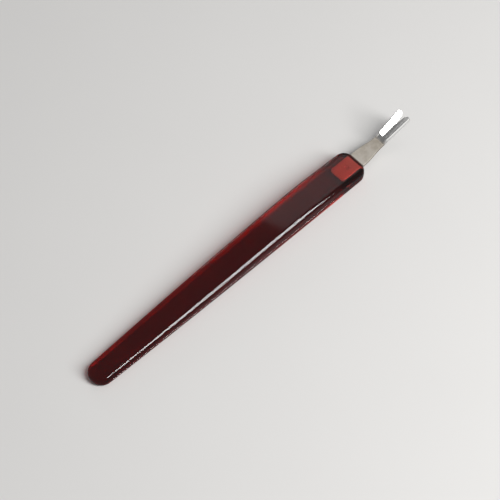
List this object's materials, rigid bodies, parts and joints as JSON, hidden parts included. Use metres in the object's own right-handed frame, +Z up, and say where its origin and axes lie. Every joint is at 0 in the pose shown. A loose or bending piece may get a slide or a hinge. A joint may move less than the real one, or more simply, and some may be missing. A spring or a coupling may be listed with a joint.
{
  "type": "cuticle trimmer",
  "caption": "Cuticle trimmer: a long tapered see-through plastic handle with a small V-shaped forked steel blade moulded into its front end.",
  "frame": {"origin": "under the middle of the whole length, on the plane of the handle's flat underside", "axes": "+X from the round butt towards the fork's tips, +Z up through the handle's top face, Y across the handle, which is the same on both sides"},
  "size_m": [0.1202, 0.01, 0.0072],
  "materials": {
    "handle_plastic": "gloss, see-through dark red",
    "blade_steel": "satin neck, brighter ground fork"
  },
  "bodies": {
    "root": {"handle": "handle_plastic", "blade": "blade_steel"}
  },
  "joints": []
}
